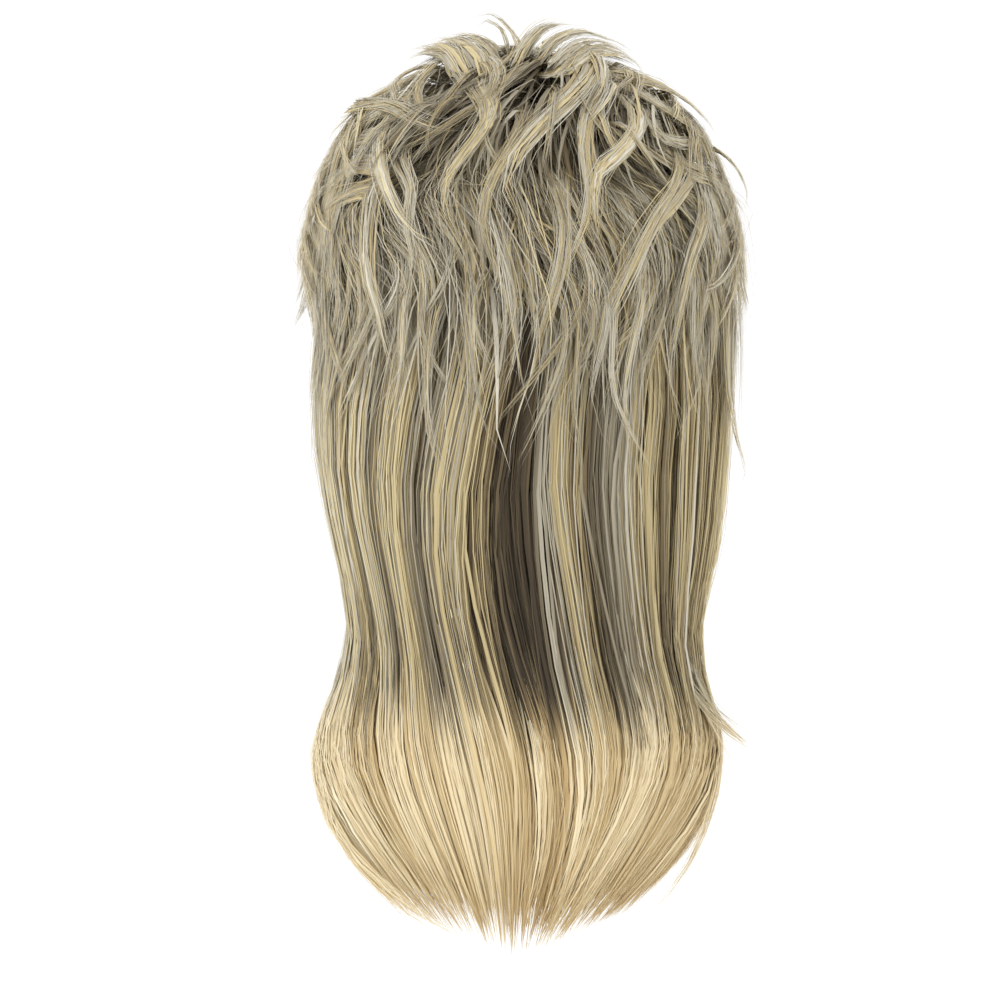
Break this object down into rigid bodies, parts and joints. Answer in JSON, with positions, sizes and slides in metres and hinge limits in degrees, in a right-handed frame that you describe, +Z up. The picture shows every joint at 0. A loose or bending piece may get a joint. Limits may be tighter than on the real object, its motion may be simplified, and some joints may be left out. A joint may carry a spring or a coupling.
{
  "type": "mullet wig",
  "caption": "Mullet wig: short layered hair over a net cap, with long rows of hair sewn below it that hang down the back to a ragged hem.",
  "frame": {"origin": "inside of the cap at the crown, where the top of the head stops it", "axes": "+Z up through the crown of the head, the back of the wig with its long hair faces -Y, the face opening faces +Y, +X is the wearer's right"},
  "size_m": [0.2248, 0.2413, 0.4356],
  "materials": {
    "cap_net": "dark brown stretch net cap with a hemmed edge",
    "under_hair": "ash brown to dark blonde synthetic hair, in the shade of the rows over it",
    "long_hair": "ash blonde synthetic hair with brown lowlights, turning to golden blonde towards the tips",
    "short_hair": "pale ash blonde synthetic hair with brown lowlights and roots"
  },
  "bodies": {
    "root": {"cap": "cap_net", "nape_weft": "under_hair", "lower_weft": "under_hair", "upper_weft": "long_hair", "back_layer": "short_hair", "side_right": "short_hair", "side_left": "short_hair", "fringe": "short_hair", "crown": "short_hair"}
  },
  "joints": []
}
